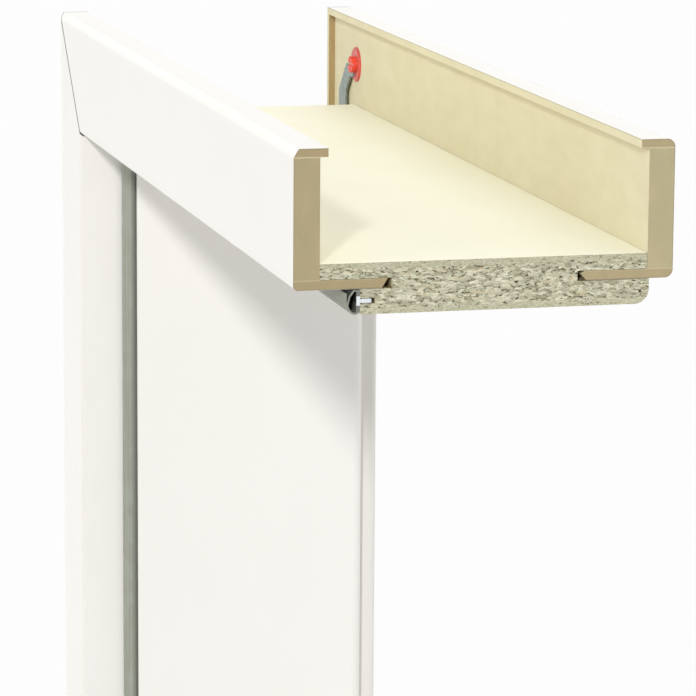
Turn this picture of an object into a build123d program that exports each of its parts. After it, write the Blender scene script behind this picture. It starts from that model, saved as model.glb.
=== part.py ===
from build123d import *
import os

# Corner of a wrap-around door frame, with its head sawn through to show the section.
# The head runs along +X, the depth of the wall along +Y and the jamb stands along Z.
# The origin lies on the wall side of the jamb lining, in the middle of that face.
# A section is drawn as (y, inset): inset is how far a point lies in from the outer
# edge of the casing, so one section serves the head and the jamb alike.
# All sizes are in millimetres.

# Overall runs
head_length = 560.0
jamb_height = 600.0

# Lining board
lining_width = 144.0
lining_thickness = 22.0
lining_round = 6.5
lining_nose = 1.1
rebate_width = 17.5
rebate_depth = 11.0

# Casings, each folded from a panel, a wall lip and a tongue
casing_face = 60.0
panel_thickness = 11.5
lip_length = 15.0
lip_thickness = 3.8
tongue_reach = 41.0
tongue_thickness = 4.1
front_bevel = 2.3
front_bulge = 0.3
front_foot_chamfer = 1.4
front_tip_bevel = 2.6
decor_round = 3.6
decor_tip_slope = 2.4
decor_tip_shoulder = 1.3
decor_tip_nose = 1.7
decor_seat_gap = 0.2

# Grooves in the edges of the lining
groove_clearance = 0.2
groove_spare = 1.7

# Seal with a hollow bulb and a barbed stem
kerf_depth = 6.4
kerf_width = 2.2
kerf_inset = 5.2
seal_top_gap = 0.4
seal_plate = 1.6
seal_heel = 1.6
seal_wall = 0.8
seal_shoulder_reach = 2.9
seal_crook_reach = 5.0
seal_crook_drop = 3.2
seal_joint_reach = 5.9
seal_joint_drop = 6.8
seal_belly_reach = 5.1
seal_belly_drop = 9.2
seal_keel_reach = 3.3
seal_lip = 0.8
seal_lip_reach = 6.6
seal_lip_drop = 1.8
seal_lip_bend_drop = 5.6
stem_length = 4.9
stem_width = 1.5
barb_height = 0.25
barb_pitch = 1.4
barb_count = 3

# Mitre connector on the back of each casing
housing_x = 54.0
housing_inset = 26.2
housing_diameter = 19.0
housing_depth = 1.2
housing_chamfer = 0.5
cam_diameter = 9.0
cam_depth = 2.8
cam_slot_width = 1.8
cam_slot_depth = 1.0
arm_thickness = 1.2
arm_standoff = 1.2
arm_width = 14.5
arm_x = 30.5
arm_bend_inset = 43.2
arm_foot_inset = 57.0
arm_neck = 6.0
arm_neck_drop = 1.0

# Places worked out from the sizes above
lining_inset = casing_face + rebate_depth - lining_thickness
lining_bottom = casing_face + rebate_depth
outer_x = -lining_inset
end_x = outer_x + head_length
top_z = (jamb_height + lining_inset) / 2
lining_front = -lining_width / 2
lining_rear = lining_width / 2
rebate_y = lining_front + rebate_width
front_face = lining_front - panel_thickness
decor_back = lining_rear + decor_seat_gap
decor_face = decor_back + panel_thickness
tongue_inset = casing_face - tongue_thickness
groove_top = tongue_inset - groove_clearance
groove_bottom = casing_face + groove_clearance
front_tip = front_face + tongue_reach
decor_tip = decor_face - tongue_reach
kerf_middle = casing_face + kerf_inset

# Planes that carry the sections, and the mitre between head and jamb
outer_corner = (outer_x, 0, top_z)
head_plane = Plane(origin=(end_x, 0, top_z), x_dir=(0, 1, 0), z_dir=(-1, 0, 0))
jamb_plane = Plane(origin=outer_corner, x_dir=(0, 1, 0), z_dir=(0, 0, -1))
mitre = Plane(origin=outer_corner, z_dir=(1, 0, 1))


def slab(y0, y1, inset0, inset1):
    """Rectangle between two depths and two insets."""
    middle = Pos((y0 + y1) / 2, (inset0 + inset1) / 2)
    return middle * Rectangle(y1 - y0, inset1 - inset0)


def corner(face, y, inset):
    """Vertex of a section that lies nearest to a point."""
    return face.vertices().sort_by_distance((y, inset))[0]


def lining_section():
    """Board with a rebate, a groove in each edge, a seal kerf and a round decor nose."""
    nose = lining_rear + lining_nose
    board = slab(lining_front, nose, lining_inset, lining_bottom)
    board = fillet(corner(board, nose, lining_bottom), lining_round)
    board -= slab(lining_front, rebate_y, groove_top, lining_bottom)
    board -= slab(lining_front, front_tip + groove_spare, groove_top, groove_bottom)
    board -= slab(decor_tip - groove_spare, nose, groove_top, groove_bottom)
    board -= slab(lining_rear, nose, lining_inset, groove_top)
    half = kerf_width / 2
    return board - slab(rebate_y, rebate_y + kerf_depth, kerf_middle - half, kerf_middle + half)


def front_lip_section():
    """Wall lip of the front casing, with a softly bevelled outer edge."""
    low = (front_face, lip_thickness)
    high = (front_face + front_bevel, 0)
    bulge = (front_face + front_bevel / 2 - front_bulge, lip_thickness / 2 - front_bulge)
    far = front_face + lip_length
    rest = Polyline(high, (far, 0), (far, lip_thickness), low)
    return make_face(rest + ThreePointArc(low, bulge, high))


def front_panel_section():
    """Front panel between its lip and its tongue."""
    return slab(front_face, lining_front, lip_thickness, tongue_inset)


def front_tongue_section():
    """Tongue under the front panel, with a bevelled tip in the groove."""
    return make_face(
        Polyline(
            (front_face, tongue_inset),
            (front_tip, tongue_inset),
            (front_tip - front_tip_bevel, casing_face),
            (front_face + front_foot_chamfer, casing_face),
            (front_face, casing_face - front_foot_chamfer),
            close=True,
        )
    )


def decor_lip_section():
    """Wall lip of the decor casing, with a round outer edge."""
    lip = slab(decor_face - lip_length, decor_face, 0, lip_thickness)
    return fillet(corner(lip, decor_face, 0), decor_round)


def decor_panel_section():
    """Decor panel between its lip and its tongue."""
    return slab(decor_back, decor_face, lip_thickness, tongue_inset)


def decor_tongue_section():
    """Tongue of the decor casing, round at the face and pointed at the tip."""
    tongue = make_face(
        Polyline(
            (decor_face, tongue_inset),
            (decor_face, casing_face),
            (decor_tip + decor_tip_slope, casing_face),
            (decor_tip, tongue_inset + decor_tip_shoulder),
            (decor_tip + decor_tip_nose, tongue_inset),
            close=True,
        )
    )
    return fillet(corner(tongue, decor_face, casing_face), decor_round)


def seal_section():
    """Hollow bulb and an outer lip on a plate, with a barbed stem that plugs into the kerf."""
    top = casing_face + seal_top_gap
    plate_y = rebate_y - seal_plate
    crook = (rebate_y - seal_crook_reach, casing_face + seal_crook_drop)
    joint = (rebate_y - seal_joint_reach, casing_face + seal_joint_drop)
    belly = (rebate_y - seal_belly_reach, casing_face + seal_belly_drop)
    keel = (rebate_y - seal_keel_reach, lining_bottom)
    walls = Polyline(
        keel,
        (plate_y, lining_bottom),
        (rebate_y, lining_bottom - seal_heel),
        (rebate_y, top),
        (rebate_y - seal_shoulder_reach, top),
        crook,
        joint,
    )
    bulb = make_face(walls + ThreePointArc(joint, belly, keel))
    chamber = offset(bulb, -seal_wall) - slab(plate_y, rebate_y, top, lining_bottom)
    return bulb - chamber + seal_lip_section(joint) + stem_section()


def seal_lip_section(joint):
    """Outer lip that stands up from the widest point of the bulb, free of its wall."""
    outer = rebate_y - seal_lip_reach
    inner = outer + seal_lip
    top = casing_face + seal_lip_drop
    bend = casing_face + seal_lip_bend_drop
    foot = (joint[0] + seal_wall, joint[1])
    return make_face(
        Polyline(foot, (inner, bend), (inner, top), (outer, top), (outer, bend), joint, close=True)
    )


def stem_section():
    """Stem with barbs on both sides that point out of the kerf."""
    half = stem_width / 2
    stem = slab(rebate_y, rebate_y + stem_length, kerf_middle - half, kerf_middle + half)
    for index in range(barb_count):
        heel = rebate_y + stem_length - barb_pitch * (index + 1)
        for side in (-1, 1):
            foot = kerf_middle + side * half
            tip = (heel, foot + side * barb_height)
            stem += make_face(Polyline((heel, foot), tip, (heel + barb_pitch, foot), close=True))
    return stem


def head_run(face):
    """Section run along the head, from the sawn end to the mitre."""
    bar = extrude(head_plane * face, amount=head_length)
    return split(bar, bisect_by=mitre, keep=Keep.TOP)


def jamb_run(face):
    """Section run down the jamb, from the mitre to the foot."""
    bar = extrude(jamb_plane * face, amount=jamb_height)
    return split(bar, bisect_by=mitre, keep=Keep.BOTTOM)


def connector_arm(back):
    """Bent steel arm that reaches over the mitre, with a foot on the jamb panel."""
    left = arm_x - arm_width / 2
    right = arm_x + arm_width / 2
    neck_top = -(housing_inset + arm_neck_drop)
    neck_bottom = neck_top - arm_neck
    outline = Polyline(
        (left, -arm_foot_inset),
        (right, -arm_foot_inset),
        (right, -arm_bend_inset),
        (right + arm_bend_inset + neck_bottom, neck_bottom),
        (housing_x, neck_bottom),
        (housing_x, neck_top),
        (left + arm_bend_inset + neck_top, neck_top),
        (left, -arm_bend_inset),
        close=True,
    )
    plate = extrude(back.offset(arm_standoff) * make_face(outline), amount=arm_thickness)
    foot_place = Pos(arm_x, -arm_foot_inset + arm_thickness / 2)
    foot = extrude(back * foot_place * Rectangle(arm_width, arm_thickness), amount=arm_standoff)
    return plate + foot


def connector(back):
    """Housing, arm and cam of one mitre connector, on the back of a casing."""
    arm = connector_arm(back)
    seat = Pos(housing_x, -housing_inset)
    housing = extrude(back * seat * Circle(housing_diameter / 2), amount=housing_depth)
    housing = chamfer(housing.edges().group_by(Axis.Y)[0], housing_chamfer) - arm
    lid = back.offset(housing_depth)
    cam = extrude(lid * seat * Circle(cam_diameter / 2), amount=cam_depth) - arm
    slot = Rectangle(cam_diameter, cam_slot_width) + Rectangle(cam_slot_width, cam_diameter)
    cam -= extrude(lid.offset(cam_depth - cam_slot_depth) * seat * slot, amount=cam_slot_depth)
    return {"housing": housing, "arm": arm, "cam": cam}


def build():
    """Every piece of the frame, by name."""
    sections = {
        "lining": lining_section(),
        "seal": seal_section(),
        "front_panel": front_panel_section(),
        "front_lip": front_lip_section(),
        "front_tongue": front_tongue_section(),
        "decor_panel": decor_panel_section(),
        "decor_lip": decor_lip_section(),
        "decor_tongue": decor_tongue_section(),
    }
    pieces = {}
    for name, face in sections.items():
        pieces[f"head_{name}"] = head_run(face)
        pieces[f"jamb_{name}"] = jamb_run(face)
    decor_plane = Plane(origin=(outer_x, decor_back, top_z), x_dir=(1, 0, 0), z_dir=(0, -1, 0))
    for name, piece in connector(decor_plane).items():
        pieces[f"decor_connector_{name}"] = piece
        facing = mirror(piece, about=Plane.XZ)
        pieces[f"front_connector_{name}"] = Pos(0, decor_seat_gap, 0) * facing
    return pieces


os.makedirs("parts", exist_ok=True)
for name, piece in build().items():
    export_step(piece, f"parts/{name}.step")
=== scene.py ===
# %% [markdown]
# # A sawn corner of a wrap-around door frame
# The object is a trade sample: the top left corner of a wooden door frame, sawn through its head so that
# the boards can be seen. The CAD parts already have their true shapes, so most of this lesson is about
# surfaces. Only the ends of the chipboard get new geometry, because a sawn chipboard is rough enough to
# cast shadows.

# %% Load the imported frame
import math

import bmesh
import bpy
from mathutils import Matrix, Vector, noise

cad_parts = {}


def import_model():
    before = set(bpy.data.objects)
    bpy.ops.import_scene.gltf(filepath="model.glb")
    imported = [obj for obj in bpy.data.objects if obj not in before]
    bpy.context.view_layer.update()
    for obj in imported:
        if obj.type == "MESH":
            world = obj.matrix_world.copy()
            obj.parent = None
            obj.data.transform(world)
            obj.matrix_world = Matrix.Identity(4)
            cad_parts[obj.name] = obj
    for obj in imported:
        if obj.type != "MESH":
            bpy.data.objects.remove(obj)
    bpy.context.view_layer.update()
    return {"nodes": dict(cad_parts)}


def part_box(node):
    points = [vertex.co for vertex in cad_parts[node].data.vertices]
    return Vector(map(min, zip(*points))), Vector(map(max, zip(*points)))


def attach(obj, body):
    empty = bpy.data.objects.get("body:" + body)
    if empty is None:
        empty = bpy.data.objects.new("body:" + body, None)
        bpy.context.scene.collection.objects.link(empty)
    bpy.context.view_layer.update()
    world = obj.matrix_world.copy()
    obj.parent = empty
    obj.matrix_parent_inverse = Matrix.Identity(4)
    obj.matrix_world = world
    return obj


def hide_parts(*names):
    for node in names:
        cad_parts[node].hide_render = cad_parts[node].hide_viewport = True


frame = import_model()
nodes = frame["nodes"]

# %% [markdown]
# ## Places that the finishes need
# Head and jamb have one section, bent round a 45 degree mitre. A section point is given by y, through the
# wall, and by its inset from the casing's outer edge. Reading these few places from the CAD boxes keeps
# every finish in register with the parts. Only the rebate's width isn't the side of a box, so it is
# written down.

# %% Read the main places from the CAD boxes
MM = 0.001
REBATE_WIDTH = 17.5 * MM

front_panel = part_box("head_front_panel")
OUTER_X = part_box("jamb_front_lip")[0].x
END_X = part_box("head_lining")[1].x
TOP_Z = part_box("head_front_lip")[1].z
FOOT_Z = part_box("jamb_lining")[0].z
FRONT_Y = front_panel[0].y
DECOR_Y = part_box("head_decor_panel")[1].y
REBATE_Y = front_panel[1].y + REBATE_WIDTH

CASING_INSET = TOP_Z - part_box("head_front_tongue")[0].z
LIP_INSET = TOP_Z - front_panel[1].z
TONGUE_INSET = TOP_Z - front_panel[0].z
WALL_SIDE_INSET = TOP_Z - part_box("head_lining")[1].z
LINING_INSET = TOP_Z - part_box("head_lining")[0].z
RUNS = {
    "head": {"out": Vector((0, 0, 1)), "end": Vector((1, 0, 0))},
    "jamb": {"out": Vector((-1, 0, 0)), "end": Vector((0, 0, -1))},
}
print("sawn end at x", round(END_X, 4), "and foot at z", round(FOOT_Z, 4))
print("front face at y", round(FRONT_Y, 4), "and decor face at y", round(DECOR_Y, 4))
print("casing", round(CASING_INSET / MM, 2), "mm wide, lip", round(LIP_INSET / MM, 2), "mm thick")

# %% [markdown]
# ## Shader maths written as sums
# A node tree is easier to read as a formula. The class below wraps one output socket, so `1 - mask` or
# `grain * 0.3` adds the Math nodes by itself. Anything else, such as a noise or a ramp, comes from `node`.

# %% A socket that takes part in sums
class Wire:
    """One output socket of a node tree."""

    def __init__(self, tree, socket):
        self.tree = tree
        self.socket = socket

    def sums(self, operation, *values):
        """A Math node on wires and numbers."""
        return node(self.tree, "Math", {"operation": operation}, dict(enumerate(values)))

    def __add__(self, other):
        return self.sums("ADD", self, other)

    def __sub__(self, other):
        return self.sums("SUBTRACT", self, other)

    def __rsub__(self, other):
        return self.sums("SUBTRACT", other, self)

    def __mul__(self, other):
        return self.sums("MULTIPLY", self, other)

    def __truediv__(self, other):
        return self.sums("DIVIDE", self, other)

    def __rtruediv__(self, other):
        return self.sums("DIVIDE", other, self)

    def __pow__(self, other):
        return self.sums("POWER", self, other)

    def __rpow__(self, other):
        return self.sums("POWER", other, self)

    def __lt__(self, other):
        return self.sums("LESS_THAN", self, other)

    def __gt__(self, other):
        return self.sums("GREATER_THAN", self, other)

    def __abs__(self):
        return self.sums("ABSOLUTE", self)

    def least(self, other):
        return self.sums("MINIMUM", self, other)

    def most(self, other):
        return self.sums("MAXIMUM", self, other)

    def fade(self, low, high):
        """0 below low, 1 above high, smooth between them. Give them swapped to fade the other way."""
        if low < high:
            limits = {"From Min": low, "From Max": high, "To Min": 0.0, "To Max": 1.0}
        else:
            limits = {"From Min": high, "From Max": low, "To Min": 1.0, "To Max": 0.0}
        limits["Value"] = self
        return node(self.tree, "MapRange", {"interpolation_type": "SMOOTHSTEP"}, limits)

    __radd__ = __add__
    __rmul__ = __mul__


def node(tree, kind, settings, values, out=0):
    """Adds a node, sets it up, fills or links its inputs, and gives one of its outputs."""
    made = tree.nodes.new("ShaderNode" + kind)
    stops = settings.pop("stops", None)
    for name, value in settings.items():
        setattr(made, name, value)
    if stops:
        ramp = made.color_ramp.elements
        while len(ramp) < len(stops):
            ramp.new(0.5)
        for stop, (place, tint) in zip(ramp, stops):
            stop.position = place
            stop.color = tint
    for name, value in values.items():
        if isinstance(value, Wire):
            tree.links.new(value.socket, made.inputs[name])
        else:
            made.inputs[name].default_value = value
    return Wire(tree, made.outputs[out])


print("shader helper ready")

# %% [markdown]
# ## Colours
# Colours are written as they are seen on a screen, from 0 to 255, because that is how a paint chart or a
# picture gives them. Blender mixes light in linear values, so one function converts them. A Mix node has
# sockets of the same name for numbers, vectors and colours, so they are picked by their place.

# %% Colour helpers
MIX_FACTOR = 0
MIX_FIRST = 6
MIX_SECOND = 7
MIX_COLOUR = 2


def seen(red, green, blue):
    """A screen colour as Blender's linear colour."""
    linear = []
    for value in (red, green, blue):
        value = value / 255
        linear.append(value / 12.92 if value <= 0.04045 else ((value + 0.055) / 1.055) ** 2.4)
    return (*linear, 1.0)


def blend(factor, first, second):
    """Mixes two colours, or wires that carry colours."""
    settings = {"data_type": "RGBA", "blend_type": "MIX", "clamp_factor": True}
    values = {MIX_FACTOR: factor, MIX_FIRST: first, MIX_SECOND: second}
    return node(factor.tree, "Mix", settings, values, out=MIX_COLOUR)


print("a grey seen as 128 of 255 is", round(seen(128, 128, 128)[0], 3), "in linear light")

# %% [markdown]
# ## A finish
# Every finish starts in the same way: a material with one Principled shader, and the object's own
# coordinates. Object coordinates keep a pattern at its real scale and let it run on through neighbouring
# pieces, which suits boards that were one board before they were cut. The coordinates are in metres, so
# `MM` sets the grain's size. The inset from the casing's outer edge is kept too. It is the smaller of the
# distances from the left and the top.

# %% Start a finish, and the patterns that finishes share
class Finish:
    """A material with one Principled shader and its object coordinates."""

    def __init__(self, name, constants):
        self.material = bpy.data.materials.new(name)
        self.material.use_nodes = True
        self.tree = self.material.node_tree
        self.shader = self.tree.nodes["Principled BSDF"]
        for socket, value in constants.items():
            self.shader.inputs[socket].default_value = value
        self.place = node(self.tree, "TexCoord", {}, {}, out="Object")
        self.x, self.y, self.z = self.parts("SeparateXYZ", {"Vector": self.place}, "XYZ")
        self.inset = (self.x - OUTER_X).least(TOP_Z - self.z)

    def parts(self, kind, values, names):
        """Several outputs of one node that takes a vector or a colour apart."""
        outputs = node(self.tree, kind, {}, values).socket.node.outputs
        return [Wire(self.tree, outputs[name]) for name in names]

    def stretched(self, x, y, z):
        """Object coordinates measured in grains of x, y and z millimetres."""
        scale = [1 / (size * MM) for size in (x, y, z)]
        return node(self.tree, "Mapping", {"vector_type": "POINT"}, {"Vector": self.place, "Scale": scale})

    def noise(self, x, y, z, detail=2.0, rough=0.5):
        """Soft noise with blobs of about x by y by z millimetres, from 0 to 1."""
        values = {"Vector": self.stretched(x, y, z), "Scale": 1.0, "Detail": detail, "Roughness": rough}
        return node(self.tree, "TexNoise", {}, values)

    def flakes(self, x, y, z):
        """One tone for each flake of about x by y by z millimetres, from 0 to 1."""
        values = {"Vector": self.stretched(x, y, z), "Scale": 1.0}
        colour = node(self.tree, "TexVoronoi", {"feature": "F1"}, values, out="Color")
        return node(self.tree, "SeparateColor", {}, {"Color": colour})

    def put(self, socket, wire):
        """Links a wire to one of the shader's sockets."""
        self.tree.links.new(wire.socket, self.shader.inputs[socket])

    def bump(self, height, depth):
        """Turns a height from 0 to 1 into relief of that depth in metres."""
        values = {"Height": height, "Distance": depth, "Strength": 1.0}
        self.put("Normal", node(self.tree, "Bump", {}, values))


print("finish helper ready")

# %% [markdown]
# ## White foil
# The faces that stay in sight are wrapped in a matt white foil, printed without a grain. Close up it has
# the fine orange peel of pressed plastic, and its gloss varies a little. Where head and jamb meet in
# the mitre, a dark hairline shows. It lies where the distances from the two outer edges are equal, so a
# formula can draw it. On the small inner edge of the front casing the foil is painted a little grey, as
# painted shade, so that this slanted edge doesn't shine brighter than the faces beside it. On the inner
# edge of the decor casing, a fainter painted shade stands for the shadow of the lining's rounded edge.

# %% White foil
HAIRLINE = 1.5 * MM
HAIRLINE_CORE = 0.8 * MM


def white_foil(name, light, deep):
    foil = Finish(name, {"Specular IOR Level": 0.25})
    peel = foil.noise(1.1, 1.1, 1.1, detail=1.0)
    cloud = foil.noise(45, 30, 45, detail=3.0)
    hair = abs((foil.x - OUTER_X) - (TOP_Z - foil.z)).fade(HAIRLINE, HAIRLINE_CORE)
    foil.put("Base Color", blend(hair, blend(cloud, light, deep), seen(56, 54, 50)))
    foil.put("Roughness", 0.42 + cloud * 0.08 + peel * 0.04)
    foil.bump(peel - hair * 6, 0.012 * MM)
    return foil.material


WHITE_FOIL = white_foil("white foil", light=seen(247, 244, 240), deep=seen(243, 241, 236))
# Painted shade: a greyer foil for the front casing's slanted inner edge.
SHADED_FOLD_FOIL = white_foil("foil shaded on a folded edge", light=seen(229, 226, 220), deep=seen(225, 222, 216))
# Painted shade: a slightly greyer foil for the decor casing's inner edge, in the lining's shadow.
SHADED_INNER_FOIL = white_foil("foil shaded on an inner edge", light=seen(237, 234, 229), deep=seen(233, 231, 225))
print(WHITE_FOIL.name, SHADED_FOLD_FOIL.name, SHADED_INNER_FOIL.name)

# %% [markdown]
# ## Raw board back
# The casings are fibreboard. Their hidden side is sanded and bare: a warm straw colour with faint fibres
# along the run and small darker specks. A noise that is far longer than it is wide makes the fibres. Right
# at the outer edge the glue line under the foil shows as a thin grey line.

# %% Board back
GLUE_LINE = 0.5 * MM
GLUE_LINE_CORE = 0.3 * MM


def board_back():
    back = Finish("bare fibreboard", {"Specular IOR Level": 0.25})
    fibres = back.noise(60, 1.6, 60, detail=4.0, rough=0.6)
    cloud = back.noise(24, 24, 9, detail=3.0)
    speck = back.noise(0.9, 0.9, 0.9, detail=2.0).fade(0.66, 0.74)
    tint = blend(cloud.fade(0.25, 0.75), seen(228, 221, 191), seen(222, 215, 183))
    tint = blend(fibres.fade(0.35, 0.75) * 0.25, tint, seen(216, 205, 168))
    tint = blend(speck * 0.3, tint, seen(176, 160, 122))
    glue = back.inset.fade(GLUE_LINE, GLUE_LINE_CORE)
    back.put("Base Color", blend(glue * 0.55, tint, seen(150, 148, 134)))
    back.put("Roughness", 0.7 + cloud * 0.15)
    back.bump(fibres + speck * 0.4, 0.03 * MM)
    return back.material


BOARD_BACK = board_back()
print(BOARD_BACK.name, len(BOARD_BACK.node_tree.nodes), "nodes")

# %% [markdown]
# ## Cream paper
# The lining's wall side carries a cream backing paper, so that the board doesn't bend. It is smoother than
# bare board, nearly even in colour, with soft clouds and a few long, faint calender lines.

# %% Cream paper
def cream_paper():
    paper = Finish("cream backing paper", {"Specular IOR Level": 0.3})
    cloud = paper.noise(70, 45, 70, detail=3.0)
    lines = paper.noise(220, 2.4, 220, detail=3.0, rough=0.7)
    tooth = paper.noise(0.6, 0.6, 0.6, detail=2.0)
    tint = blend(cloud.fade(0.3, 0.7), seen(253, 251, 230), seen(251, 249, 226))
    paper.put("Base Color", blend(lines.fade(0.55, 0.8) * 0.25, tint, seen(246, 240, 211)))
    paper.put("Roughness", 0.55 + cloud * 0.12)
    paper.bump(tooth + lines * 0.5, 0.012 * MM)
    return paper.material


CREAM_PAPER = cream_paper()
print(CREAM_PAPER.name, len(CREAM_PAPER.node_tree.nodes), "nodes")

# %% [markdown]
# ## The outline of a sawn casing
# On a sawn casing the foil is a thin white edge round the visible side, with a darker seam of glue inside
# it. Both could be painted from a picture, but a formula stays sharp. The distance from the visible
# outline follows from the section: round corners on the decor casing, and on the front casing a bevelled
# lip and a small chamfer at the foot.

# %% Distance from the foil on a casing's section
DECOR_ROUND = 3.6 * MM
FRONT_BEVEL = 2.3 * MM
FOOT_CHAMFER = 1.4 * MM
FOIL_THICKNESS = 0.06 * MM


def rounded_edge(across, down, radius):
    """Distance from two faces that meet in a round corner."""
    side = (radius - across).most(0)
    top = (radius - down).most(0)
    return radius - (side * side + top * top) ** 0.5


def casing_edge(cut, side):
    """Distance from the visible outline of a casing, on a sawn end."""
    top = cut.inset
    bottom = CASING_INSET - top
    if side == "decor":
        across = DECOR_Y - cut.y
        return rounded_edge(across, top, DECOR_ROUND).least(rounded_edge(across, bottom, DECOR_ROUND))
    across = cut.y - FRONT_Y
    slant = math.hypot(LIP_INSET, FRONT_BEVEL)
    bevel = (across * LIP_INSET + top * FRONT_BEVEL - FRONT_BEVEL * LIP_INSET) / slant
    foot = (across + bottom - FOOT_CHAMFER) / math.sqrt(2)
    return across.least(top).least(bottom).least(bevel).least(foot)


print("the foil is drawn", round(FOIL_THICKNESS / MM, 3), "mm thick on the sawn ends")

# %% [markdown]
# ## Sawn and milled fibreboard
# A saw cut through fibreboard is brown and even, with fine fluff. Lip and tongue were folded from the same
# board, so a paler line shows where they meet the panel, and they are a little darker themselves. The
# inner side of the lip is milled and not sawn: a cutter opened the fold there and left streaks along the
# run.

# %% Sawn fibreboard
SAWN_TINTS = {
    "front": {"warm": seen(184, 168, 133), "cool": seen(176, 165, 130)},
    "decor": {"warm": seen(195, 183, 147), "cool": seen(187, 178, 143)},
}
WAVER = 0.5 * MM


def sawn_fibreboard(side):
    cut = Finish(f"sawn fibreboard {side}", {"Specular IOR Level": 0.2})
    fluff = cut.noise(0.35, 0.35, 0.35, detail=3.0, rough=0.7)
    fibre = cut.noise(2.0, 1.4, 0.5, detail=3.0)
    cloud = cut.noise(9, 9, 14, detail=2.0)
    saw = cut.noise(2, 12, 0.7, detail=2.0)
    tint = blend(cloud.fade(0.3, 0.7), SAWN_TINTS[side]["warm"], SAWN_TINTS[side]["cool"])
    folded = (cut.inset < LIP_INSET).most(cut.inset > TONGUE_INSET)
    tint = blend(folded * 0.4, tint, seen(172, 148, 112))
    tint = blend(fluff.fade(0.35, 0.8) * 0.5, tint, seen(152, 135, 100))
    tint = blend(fibre.fade(0.62, 0.8) * 0.5, tint, seen(208, 194, 158))
    wavy = cut.inset + (cut.noise(2.5, 2.5, 2.5) - 0.5) * WAVER
    fold = abs(wavy - LIP_INSET).fade(0.45 * MM, 0.1 * MM)
    glue = abs(wavy - TONGUE_INSET).fade(0.4 * MM, 0.1 * MM)
    tint = blend((fold * 0.6).most(glue * 0.35), tint, seen(224, 213, 178))
    edge = casing_edge(cut, side)
    tint = blend(edge.fade(0.5 * MM, 0.15 * MM) * 0.55, tint, seen(112, 98, 74))
    cut.put("Base Color", blend(edge < FOIL_THICKNESS, tint, seen(240, 237, 230)))
    cut.put("Roughness", 0.82 + fluff * 0.15)
    cut.bump(fluff + saw * 0.6 - fold * 0.5, 0.07 * MM)
    return cut.material


def milled_fibreboard():
    milled = Finish("milled fibreboard", {"Specular IOR Level": 0.2})
    fluff = milled.noise(0.5, 0.5, 0.5, detail=3.0, rough=0.7)
    streak = milled.noise(40, 0.7, 40, detail=2.0)
    tint = blend(streak.fade(0.3, 0.7), seen(184, 161, 120), seen(168, 145, 106))
    milled.put("Base Color", blend(fluff.fade(0.4, 0.8) * 0.4, tint, seen(150, 128, 92)))
    milled.put("Roughness", 0.8 + fluff * 0.15)
    milled.bump(fluff + streak, 0.05 * MM)
    return milled.material


SAWN_FIBREBOARD = {side: sawn_fibreboard(side) for side in ("front", "decor")}
MILLED_FIBREBOARD = milled_fibreboard()
print([m.name for m in SAWN_FIBREBOARD.values()], MILLED_FIBREBOARD.name)

# %% [markdown]
# ## Sawn chipboard
# Chipboard is glued in layers: fine dust near both faces and coarse chips in the middle, all lying flat. A
# saw cut shows each chip as a pale sliver with dark gaps round it. The shape of the chips is worked out
# further down, where the sawn end gets its relief, and kept on the mesh as an attribute: red is a chip's
# tone, green is how deep a gap is, and blue is how fine the layer is. The finish only colours that, with
# fibres too small for geometry.

# %% Sawn chipboard
CHIP_TONES = [
    (0.0, seen(162, 158, 130)),
    (0.3, seen(192, 190, 164)),
    (0.6, seen(205, 203, 178)),
    (0.85, seen(236, 234, 210)),
    (1.0, seen(204, 186, 150)),
]


def sawn_chipboard():
    cut = Finish("sawn chipboard", {"Specular IOR Level": 0.2})
    settings = {"attribute_type": "GEOMETRY", "attribute_name": "chips"}
    chips = node(cut.tree, "Attribute", settings, {})
    tone, gap, fine = cut.parts("SeparateColor", {"Color": chips}, ("Red", "Green", "Blue"))
    grain = cut.noise(1.3, 1.3, 0.25, detail=3.0, rough=0.65)
    dust = cut.noise(0.45, 0.45, 0.3, detail=2.0, rough=0.7)
    tint = node(cut.tree, "ValToRGB", {"stops": CHIP_TONES}, {"Fac": tone + (grain - 0.5) * 0.5})
    tint = blend(fine * 0.5, tint, seen(190, 187, 158))
    tint = blend(dust.fade(0.45, 0.68) * (0.5 + fine * 0.1), tint, seen(146, 143, 116))
    tint = blend(dust.fade(0.5, 0.3) * 0.4, tint, seen(228, 226, 204))
    # The gaps between chips are painted darker the deeper they are, down to nearly black: painted shade in
    # the voids, on top of the shadow that the relief itself casts.
    tint = blend(gap.fade(0.2, 0.7) * 0.75, tint, seen(112, 105, 82))
    cut.put("Base Color", blend(gap.fade(0.7, 1.0), tint, seen(54, 48, 36)))
    cut.put("Roughness", 0.8 + grain * 0.15)
    cut.bump(grain + dust * 0.5, 0.1 * MM)
    return cut.material


def milled_chipboard():
    """Chipboard inside the grooves, where a cutter leaves it smoother than the saw."""
    raw = Finish("milled chipboard", {"Specular IOR Level": 0.2})
    tone = raw.flakes(5, 2.2, 1.1)
    raw.put("Base Color", blend(tone, seen(206, 196, 158), seen(152, 136, 100)))
    raw.put("Roughness", 0.8 + tone * 0.1)
    raw.bump(tone, 0.1 * MM)
    return raw.material


SAWN_CHIPBOARD = sawn_chipboard()
MILLED_CHIPBOARD = milled_chipboard()
print(SAWN_CHIPBOARD.name, "and", MILLED_CHIPBOARD.name)

# %% [markdown]
# ## Seal rubber
# The seal is a soft grey extrusion. Its skin is matt with fine streaks along the run, because the die
# leaves them. The fold behind its lip is painted nearly black, as painted shade in that narrow gap, and
# the rubber is painted darker towards the plate, as painted shade where the bulb turns from the lamp.
# Where it is cut, the stiff plate and stem show white, made of a harder plastic in the same extrusion. How
# far each of these reaches is measured out from the rebate, or down from the casing's inner edge.

# %% Seal rubber, whole and cut
SEAL_PLATE_OUT = 1.65 * MM
SEAL_HEEL_OUT = 3.4 * MM
SEAL_FOLD_OUT = 6.2 * MM
SEAL_FOLD_DOWN = 6.8 * MM
STEM_DOWN = 5.2 * MM
WHITE_HALF = 2.0 * MM


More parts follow.
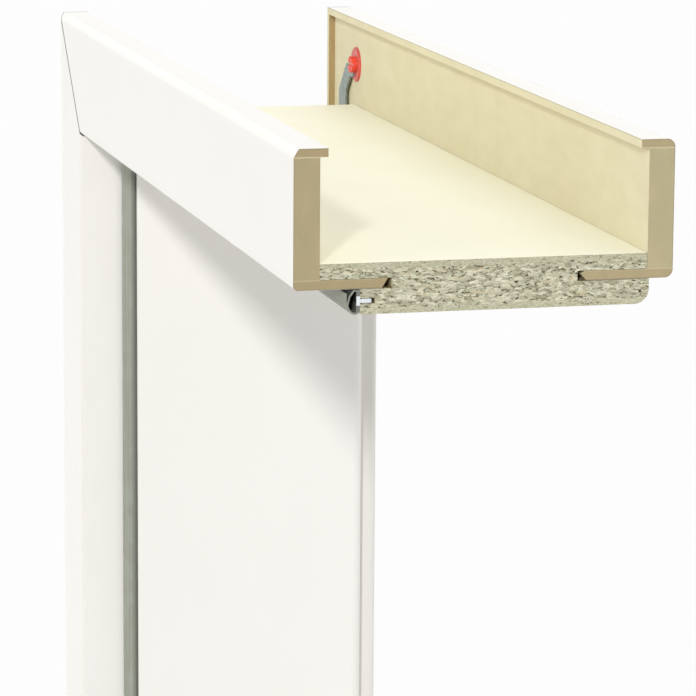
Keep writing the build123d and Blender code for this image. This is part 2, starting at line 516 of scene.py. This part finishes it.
def seal_rubber(cut_end):
    rubber = Finish("cut seal" if cut_end else "seal rubber", {"Specular IOR Level": 0.35})
    streaks = rubber.noise(180, 0.5, 180, detail=3.0, rough=0.6)
    cloud = rubber.noise(12, 12, 12, detail=2.0)
    down = rubber.inset - CASING_INSET
    tint = blend(streaks.fade(0.3, 0.7), seen(151, 154, 141), seen(134, 137, 124))
    tint = blend(cloud.fade(0.4, 0.7) * 0.3, tint, seen(164, 167, 160))
    # Painted shade: the rubber darkens towards the plate, where the bulb turns away from the lamp.
    painted_heel_shade = (rubber.y - (REBATE_Y - SEAL_HEEL_OUT)).fade(0.0, 1.8 * MM)
    tint = blend(painted_heel_shade, tint, seen(124, 126, 117))
    if cut_end:
        plate = (rubber.y - (REBATE_Y - SEAL_PLATE_OUT)).fade(-0.08 * MM, 0.08 * MM)
        beside_stem = abs(down - STEM_DOWN).fade(WHITE_HALF + 0.1 * MM, WHITE_HALF - 0.1 * MM)
        tint = blend(plate * beside_stem, tint, seen(226, 232, 236))
    else:
        # Painted shade: the fold behind the lip is painted nearly black.
        behind_lip = (rubber.y - (REBATE_Y - SEAL_FOLD_OUT)).fade(0.0, 0.3 * MM)
        above_joint = down.fade(SEAL_FOLD_DOWN, SEAL_FOLD_DOWN - 1.0 * MM)
        tint = blend(behind_lip * above_joint * 0.85, tint, seen(50, 52, 48))
    rubber.put("Base Color", tint)
    rubber.put("Roughness", 0.55 + streaks * 0.12)
    rubber.bump(streaks, 0.02 * MM)
    return rubber.material


SEAL_RUBBER = seal_rubber(cut_end=False)
CUT_SEAL = seal_rubber(cut_end=True)
print(SEAL_RUBBER.name, "and", CUT_SEAL.name)

# %% [markdown]
# ## Connector plastic and steel
# The mitre connector has a moulded red housing with a cam, and a bent arm of zinc plated steel. Moulded
# plastic is evenly coloured with a little gloss, and zinc is a mosaic of faint grey flakes with rolling
# lines.

# %% Connector finishes
def red_plastic(name, tint, deep):
    red = Finish(name, {"Specular IOR Level": 0.5, "Coat Weight": 0.15, "Coat Roughness": 0.3})
    flow = red.noise(6, 6, 3, detail=2.0)
    grit = red.noise(0.35, 0.35, 0.35, detail=1.0)
    red.put("Base Color", blend(flow.fade(0.35, 0.7), tint, deep))
    red.put("Roughness", 0.34 + grit * 0.12)
    red.bump(grit, 0.02 * MM)
    return red.material


def zinc_steel():
    zinc = Finish("zinc plated steel", {"Metallic": 0.85})
    tone = zinc.flakes(1.6, 1.6, 1.6)
    rolled = zinc.noise(30, 30, 0.4, detail=2.0)
    zinc.put("Base Color", blend(tone * 0.6 + rolled * 0.3, seen(160, 170, 164), seen(128, 138, 134)))
    zinc.put("Roughness", 0.38 + tone * 0.12)
    zinc.bump(rolled + tone * 0.3, 0.02 * MM)
    return zinc.material


RED_PLASTIC = red_plastic("red plastic", tint=seen(214, 84, 74), deep=seen(196, 70, 56))
CAM_PLASTIC = red_plastic("orange red plastic", tint=seen(238, 84, 60), deep=seen(222, 64, 44))
ZINC_STEEL = zinc_steel()
print(RED_PLASTIC.name, CAM_PLASTIC.name, ZINC_STEEL.name)

# %% [markdown]
# ## Which face gets which finish
# A casing is foil on the sides that show in a room, bare on its back, and brown where it is sawn. The
# direction of a face tells them apart, so the finishes can be given face by face without cutting the CAD
# mesh. A direction is compared by its dot product: 1 is straight along, and about 0.7 is half way round a
# rounded edge.

# %% Give finishes face by face
ALONG = 0.9
TOWARDS = 0.68
SLANTED = 0.4


def dress(piece, choose):
    """Gives every face of a piece the finish that choose(middle, direction) names."""
    mesh = piece.data
    mesh.materials.clear()
    used = []
    for face in mesh.polygons:
        finish = choose(face.center, face.normal)
        if finish not in used:
            used.append(finish)
            mesh.materials.append(finish)
        face.material_index = used.index(finish)
    return [finish.name for finish in used]


def casing_chooser(run, side, part):
    """Foil where a casing shows in a room, bare board behind, brown on the sawn end."""
    out = RUNS[run]["out"]
    end = RUNS[run]["end"]
    room = Vector((0, -1 if side == "front" else 1, 0))

    def choose(middle, direction):
        outwards = direction.dot(out)
        to_room = direction.dot(room)
        if direction.dot(end) > ALONG:
            return SAWN_FIBREBOARD[side]
        if part == "lip" and outwards < -TOWARDS:
            return MILLED_FIBREBOARD
        # The front casing's slanted inner edge gets the foil with painted shade.
        if part == "tongue" and side == "front" and to_room > SLANTED and outwards < -SLANTED:
            return SHADED_FOLD_FOIL
        # The decor casing's inner edge gets the foil with painted shade.
        if part == "tongue" and side == "decor" and outwards < -TOWARDS:
            return SHADED_INNER_FOIL
        shown = to_room > TOWARDS
        shown = shown or (part == "lip" and outwards > TOWARDS)
        shown = shown or (part == "tongue" and outwards < -TOWARDS)
        return WHITE_FOIL if shown else BOARD_BACK

    return choose


for run in RUNS:
    for side in ("front", "decor"):
        for part in ("panel", "lip", "tongue"):
            name = f"{run}_{side}_{part}"
            print(name, dress(nodes[name], casing_chooser(run, side, part)))

# %% [markdown]
# ## Seals and connectors
# A seal has its skin all along and the cut finish on its end. A connector's three pieces have one finish
# each.

# %% Dress the seals and the connectors
for run in RUNS:
    end = RUNS[run]["end"]
    print(dress(nodes[f"{run}_seal"], lambda middle, way: CUT_SEAL if way.dot(end) > ALONG else SEAL_RUBBER))
for side in ("front", "decor"):
    dress(nodes[f"{side}_connector_housing"], lambda middle, way: RED_PLASTIC)
    dress(nodes[f"{side}_connector_cam"], lambda middle, way: CAM_PLASTIC)
    dress(nodes[f"{side}_connector_arm"], lambda middle, way: ZINC_STEEL)
print("seals and connectors dressed")

# %% [markdown]
# ## Chips
# A chip's shape comes from the cells of a Voronoi pattern, stretched along the board and warped by a
# noise. Nearer to the board's faces the cells lose length and thickness. Chips that lie loose have deep
# gaps round them, the others only faint ones, and a very flat noise opens slits between the layers. The
# warping noise takes its place from Blender's random numbers, so their seed is set once, and every run
# gives the same board. Each noise is read at a third coordinate of its own, so that no two of them match.
# Depths and the sizes of the chips are in millimetres, and all other lengths are in metres.

# %% How chips lie in the board
CORE_HALF = 8.0 * MM
LAYER_CHANGE = 1.4 * MM
CHIP_LENGTH = 2.7
LENGTH_LOSS = 1.5
CHIP_THICKNESS = 0.85
THICKNESS_LOSS = 0.45
WARP_ALONG = 3.0 * MM
WARP_ACROSS = 2.0 * MM
LOOSE_ALONG = 2.4 * MM
LOOSE_ACROSS = 1.3 * MM
SLIT_ALONG = 2.2 * MM
SLIT_ACROSS = 0.55 * MM
OPEN_GAP = 0.2
TIGHT_GAP = 0.14
SAW_DEPTH = 0.05
CHIP_DEPTH = 0.2
GAP_DEPTH = 0.55
SEED = 5
noise.seed_set(SEED)


def limited(value):
    """The value, kept between 0 and 1."""
    return min(1.0, max(0.0, value))


def chips_at(along, across):
    """Tone, gap and fineness of the chipboard at a place of its section, and its depth in millimetres."""
    fine = limited((abs(across) - CORE_HALF) / LAYER_CHANGE)
    length = CHIP_LENGTH - LENGTH_LOSS * fine
    thickness = CHIP_THICKNESS - THICKNESS_LOSS * fine
    warp = noise.noise_vector(Vector((along / WARP_ALONG, across / WARP_ACROSS, 3.1)))
    u = along / (length * MM) + warp.x * 0.6
    v = across / (thickness * MM) + warp.y * 0.9
    distances, points = noise.voronoi(Vector((u, v, 0.4)))
    tone = noise.cell(points[0] * 7.3) * 0.5 + 0.5
    lie = noise.cell(points[0] * 3.1 + Vector((5, 5, 5))) * 0.5 + 0.5
    border = distances[1] - distances[0]
    loose = noise.noise(Vector((along / LOOSE_ALONG, across / LOOSE_ACROSS, 9.7))) > 0.1 + 0.3 * fine
    gap = limited(1.0 - border / OPEN_GAP) if loose else 0.3 * limited(1.0 - border / TIGHT_GAP)
    slit = noise.noise(Vector((along / SLIT_ALONG, across / SLIT_ACROSS, 21.3)))
    gap = max(gap, limited((slit - 0.44 - 0.16 * fine) * 6))
    relief = (SAW_DEPTH + CHIP_DEPTH * lie) * (1 - 0.75 * fine)
    return tone, gap, fine, relief + GAP_DEPTH * gap * (1 - 0.5 * fine)


print("a chip lies", round(chips_at(0.01, 0.002)[3], 3), "mm under the saw cut")

# %% [markdown]
# ## A net on the sawn end
# Relief needs points that can move, and the sawn end is one flat face with a long, grooved outline.
# Subdividing it as it is would give long and crooked cells. So it is first cut by evenly spaced planes,
# along the board and across it, and then each small cell is divided.

# %% Net the sawn end
ON_PLANE = 1e-6
SNAP = 1e-7
CELL_CUTS = 3


def parts_on(shape, end, place):
    """Faces, edges and corners of a shape that lie on the sawn plane."""
    faces = [f for f in shape.faces if all(abs(v.co.dot(end) - place) < ON_PLANE for v in f.verts)]
    edges = {e for f in faces for e in f.edges}
    corners = {v for f in faces for v in f.verts}
    return faces, list(edges), list(corners)


def net_the_end(shape, end, place, ways):
    """Cuts the sawn end into cells, one way after the other, and divides each cell four by four."""
    bmesh.ops.dissolve_faces(shape, faces=parts_on(shape, end, place)[0])
    for way, step in ways:
        faces, edges, corners = parts_on(shape, end, place)
        levels = [corner.co.dot(way) for corner in corners]
        low = min(levels)
        high = max(levels)
        count = round((high - low) / step)
        for index in range(1, count):
            level = low + (high - low) * index / count
            faces, edges, corners = parts_on(shape, end, place)
            geometry = faces + edges + corners
            bmesh.ops.bisect_plane(shape, geom=geometry, dist=SNAP, plane_co=way * level, plane_no=way)
    edges = parts_on(shape, end, place)[1]
    bmesh.ops.subdivide_edges(shape, edges=edges, cuts=CELL_CUTS, use_grid_fill=True)
    return parts_on(shape, end, place)


print("each cell of the net becomes", (CELL_CUTS + 1) ** 2, "faces")

# %% [markdown]
# ## The lining's finishes
# The lining is foil where the door and the hand can reach it, cream paper against the wall, and bare
# chipboard where it was sawn, grooved or hidden behind a casing. A groove ends nearer to the middle of the
# wall than the rebate does, which tells the two apart. The faces of a rough end lean every way, so each
# face there that looks outwards at all counts as sawn.

# %% Choose the lining's finishes
LEANING = 0.1
NEAR = 1.0 * MM
GROOVES_END_WITHIN = 52 * MM


def lining_chooser(run):
    """Foil below, cream paper on the wall side, chipboard where the board is cut."""
    out = RUNS[run]["out"]
    end = RUNS[run]["end"]
    end_place = END_X if run == "head" else -FOOT_Z

    def choose(middle, direction):
        inset = middle.x - OUTER_X if run == "jamb" else TOP_Z - middle.z
        through_wall = abs(direction.y) > ALONG
        if abs(middle.dot(end) - end_place) < NEAR and direction.dot(end) > LEANING:
            return SAWN_CHIPBOARD
        if direction.dot(out) > ALONG and inset < WALL_SIDE_INSET + NEAR:
            return CREAM_PAPER
        in_groove = abs(direction.dot(out)) > ALONG and inset < LINING_INSET - NEAR
        groove_end = through_wall and abs(middle.y) < GROOVES_END_WITHIN
        hidden_edge = through_wall and inset < CASING_INSET
        return MILLED_CHIPBOARD if in_groove or groove_end or hidden_edge else WHITE_FOIL

    return choose


print("cream paper lies", round(WALL_SIDE_INSET / MM, 2), "mm in from the casing's outer edge")

# %% [markdown]
# ## The rough end of the chipboard
# The lining is copied from its CAD node, and the copy's end gets the net. Each inner point of the net
# sinks a little into the board: hardly at all on a chip, and deeper in the gap between two chips. Nothing
# rises above the saw cut and the rim stays where it is, so the copy keeps the CAD part's size. The copy
# then stands for the CAD node.

# %% Sink the net and put the board in place
NET_ALONG = 1.3 * MM
NET_ACROSS = 0.8 * MM


def made_from(shape, name):
    """An object of that name in the scene, made from a bmesh that isn't needed any more."""
    mesh = bpy.data.meshes.new(name)
    shape.to_mesh(mesh)
    shape.free()
    made = bpy.data.objects.new(name, mesh)
    bpy.context.collection.objects.link(made)
    return made


def sawn_board(run):
    """A copy of a lining whose end is rough, in place of its CAD node."""
    name = f"{run}_lining"
    out = RUNS[run]["out"]
    end = RUNS[run]["end"]
    shape = bmesh.new()
    shape.from_mesh(nodes[name].data)
    chips = shape.verts.layers.float_color.new("chips")
    bmesh.ops.remove_doubles(shape, verts=shape.verts, dist=ON_PLANE)
    place = max(corner.co.dot(end) for corner in shape.verts)
    ways = [(Vector((0, 1, 0)), NET_ALONG), (out, NET_ACROSS)]
    faces, edges, corners = net_the_end(shape, end, place, ways)
    cap = set(faces)
    levels = [corner.co.dot(out) for corner in corners]
    middle = (min(levels) + max(levels)) / 2
    for corner in corners:
        tone, gap, fine, depth = chips_at(corner.co.y, corner.co.dot(out) - middle)
        corner[chips] = (tone, gap, fine, 1)
        if all(face in cap for face in corner.link_faces):
            corner.co -= end * (depth * MM)
    for face in cap:
        face.smooth = True
    for edge in edges:
        edge.smooth = all(face in cap for face in edge.link_faces)
    board = made_from(shape, f"{name}_sawn")
    dress(board, lining_chooser(run))
    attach(board, "frame_corner")
    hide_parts(name)
    return board


for run in RUNS:
    board = sawn_board(run)
    print(board.name, len(board.data.polygons), "faces", [m.name for m in board.data.materials])

# %% [markdown]
# ## Floor
# A plain pale floor carries the frame and takes its shadow. The camera sees it as nearly pure white, with
# just enough of the real floor mixed in to show that shadow. This gives the picture its white background
# without any more light on the frame. Glossy and clear surfaces are told the same, so that they reflect
# the background that the camera sees.

# %% Floor
FLOOR_REACH = 9.0
FLOOR_WHITENESS = 0.95
PURE_WHITE = (1, 1, 1, 1)


def white_to_the_eye(tree):
    """1 for what the camera, a reflection or a clear surface sees, and 0 for what lights the frame."""
    path = node(tree, "LightPath", {}, {}, out="Is Camera Ray")
    outputs = path.socket.node.outputs
    gloss, clear = (Wire(tree, outputs[name]) for name in ("Is Glossy Ray", "Is Transmission Ray"))
    return path.most(gloss).most(clear)


def floor():
    shape = bmesh.new()
    bmesh.ops.create_grid(shape, x_segments=4, y_segments=4, size=FLOOR_REACH)
    bmesh.ops.translate(shape, verts=shape.verts, vec=(0, 0, FOOT_Z))
    made = made_from(shape, "floor")
    paint = Finish("pale floor", {"Roughness": 0.9, "Specular IOR Level": 0.1})
    paint.put("Base Color", blend(paint.noise(300, 300, 300), seen(208, 208, 206), seen(212, 212, 210)))
    white = node(paint.tree, "Emission", {}, {"Color": PURE_WHITE, "Strength": 1.0})
    shader = Wire(paint.tree, paint.shader.outputs["BSDF"])
    share = white_to_the_eye(paint.tree) * FLOOR_WHITENESS
    mixed = node(paint.tree, "MixShader", {}, {0: share, 1: shader, 2: white})
    out = paint.tree.nodes["Material Output"]
    paint.tree.links.new(mixed.socket, out.inputs["Surface"])
    made.data.materials.append(paint.material)
    return made


print(floor().name, "lies at z", round(FOOT_Z, 4))

# %% [markdown]
# ## Light
# The picture is a bright catalogue picture: an even light from all round, and one lamp from the right, a
# little above and on the door side. Its direction follows from the head's shadow on the jamb, which gets
# longer by about 1.1 mm for each millimetre of depth. The lamp's size follows from how soft that shadow's
# edge is. Four large lamps stand for the white walls of the studio, so that no side of the frame goes
# dull. The one on the decor side also gives the lining's rounded edge its bright line. They are kept out
# of reflections, because the white world already shows there, and both together would bleach the narrow
# lips.

# %% World and lamps
LAMP_DISTANCE = 3.0


def world(fill):
    """White to the eye, and a dimmer white that lights the frame."""
    made = bpy.data.worlds.new("studio")
    made.use_nodes = True
    tree = made.node_tree
    out = tree.nodes["World Output"]
    dim = node(tree, "Background", {}, {"Color": PURE_WHITE, "Strength": fill})
    white = node(tree, "Background", {}, {"Color": PURE_WHITE, "Strength": 1.0})
    mixed = node(tree, "MixShader", {}, {0: white_to_the_eye(tree), 1: dim, 2: white})
    tree.links.new(mixed.socket, out.inputs["Surface"])
    bpy.context.scene.world = made


def lamp(name, towards, strength, softness, glints=False):
    """A far lamp that shines from a direction, softness being its size in the sky in degrees."""
    light = bpy.data.lights.new(name, "SUN")
    light.energy = strength
    light.angle = math.radians(softness)
    made = bpy.data.objects.new(name, light)
    made.rotation_mode = "QUATERNION"
    made.rotation_quaternion = Vector(towards).to_track_quat("Z", "Y")
    made.location = Vector(towards).normalized() * LAMP_DISTANCE
    made.visible_glossy = glints
    bpy.context.collection.objects.link(made)


world(fill=0.448)
lamp("key", towards=(0.6, -0.27, 0.297), strength=1.37, softness=5, glints=True)
lamp("door side fill", towards=(0.1, -1.0, 0.15), strength=1.42, softness=60)
lamp("top fill", towards=(0.05, 0.3, 1.0), strength=0.8, softness=60)
lamp("wall side fill", towards=(-0.9, 0.42, 0.1), strength=1.2, softness=60)
lamp("decor side fill", towards=(0.0, 1.0, 0.0), strength=0.8, softness=30)
print(len(bpy.data.lights), "lamps and a white world")

# %% [markdown]
# ## Camera
# The camera stands where the picture was taken from: two metres off, far along the head, a little above it
# and with a long lens, so that the sawn end faces it and the jamb stands behind. Position, direction and
# lens come from matching 27 points on the parts' edges with the same points in the picture.

# %% Camera
SENSOR_WIDTH = 36
FAR_CLIP = 50


def camera(place, turn, dip, tilt, lens):
    """A camera that looks along -X, turned towards +Y, dipped down and tilted, in radians."""
    ahead = Vector((-math.cos(turn) * math.cos(dip), math.sin(turn) * math.cos(dip), -math.sin(dip)))
    right = Vector((math.sin(turn), math.cos(turn), 0))
    up = right.cross(ahead)
    axes = Matrix((right, up, -ahead)).transposed() @ Matrix.Rotation(-tilt, 3, "Z")
    made = bpy.data.objects.new("camera", bpy.data.cameras.new("camera"))
    made.data.lens = lens
    made.data.sensor_width = SENSOR_WIDTH
    made.data.clip_end = FAR_CLIP
    made.matrix_world = Matrix.Translation(place) @ axes.to_4x4()
    bpy.context.collection.objects.link(made)
    bpy.context.scene.camera = made
    return made


eye = camera(Vector((2.07304, -0.45415, 0.54742)), turn=0.24741, dip=0.18892, tilt=-0.0066, lens=201.48)
print("camera at", [round(v, 3) for v in eye.location], "with a lens of", round(eye.data.lens), "mm")

# %% [markdown]
# ## Last settings
# The colours are shown without a film look, so that a finish renders as it is written.

# %% Finish
bpy.context.scene.view_settings.view_transform = "Standard"
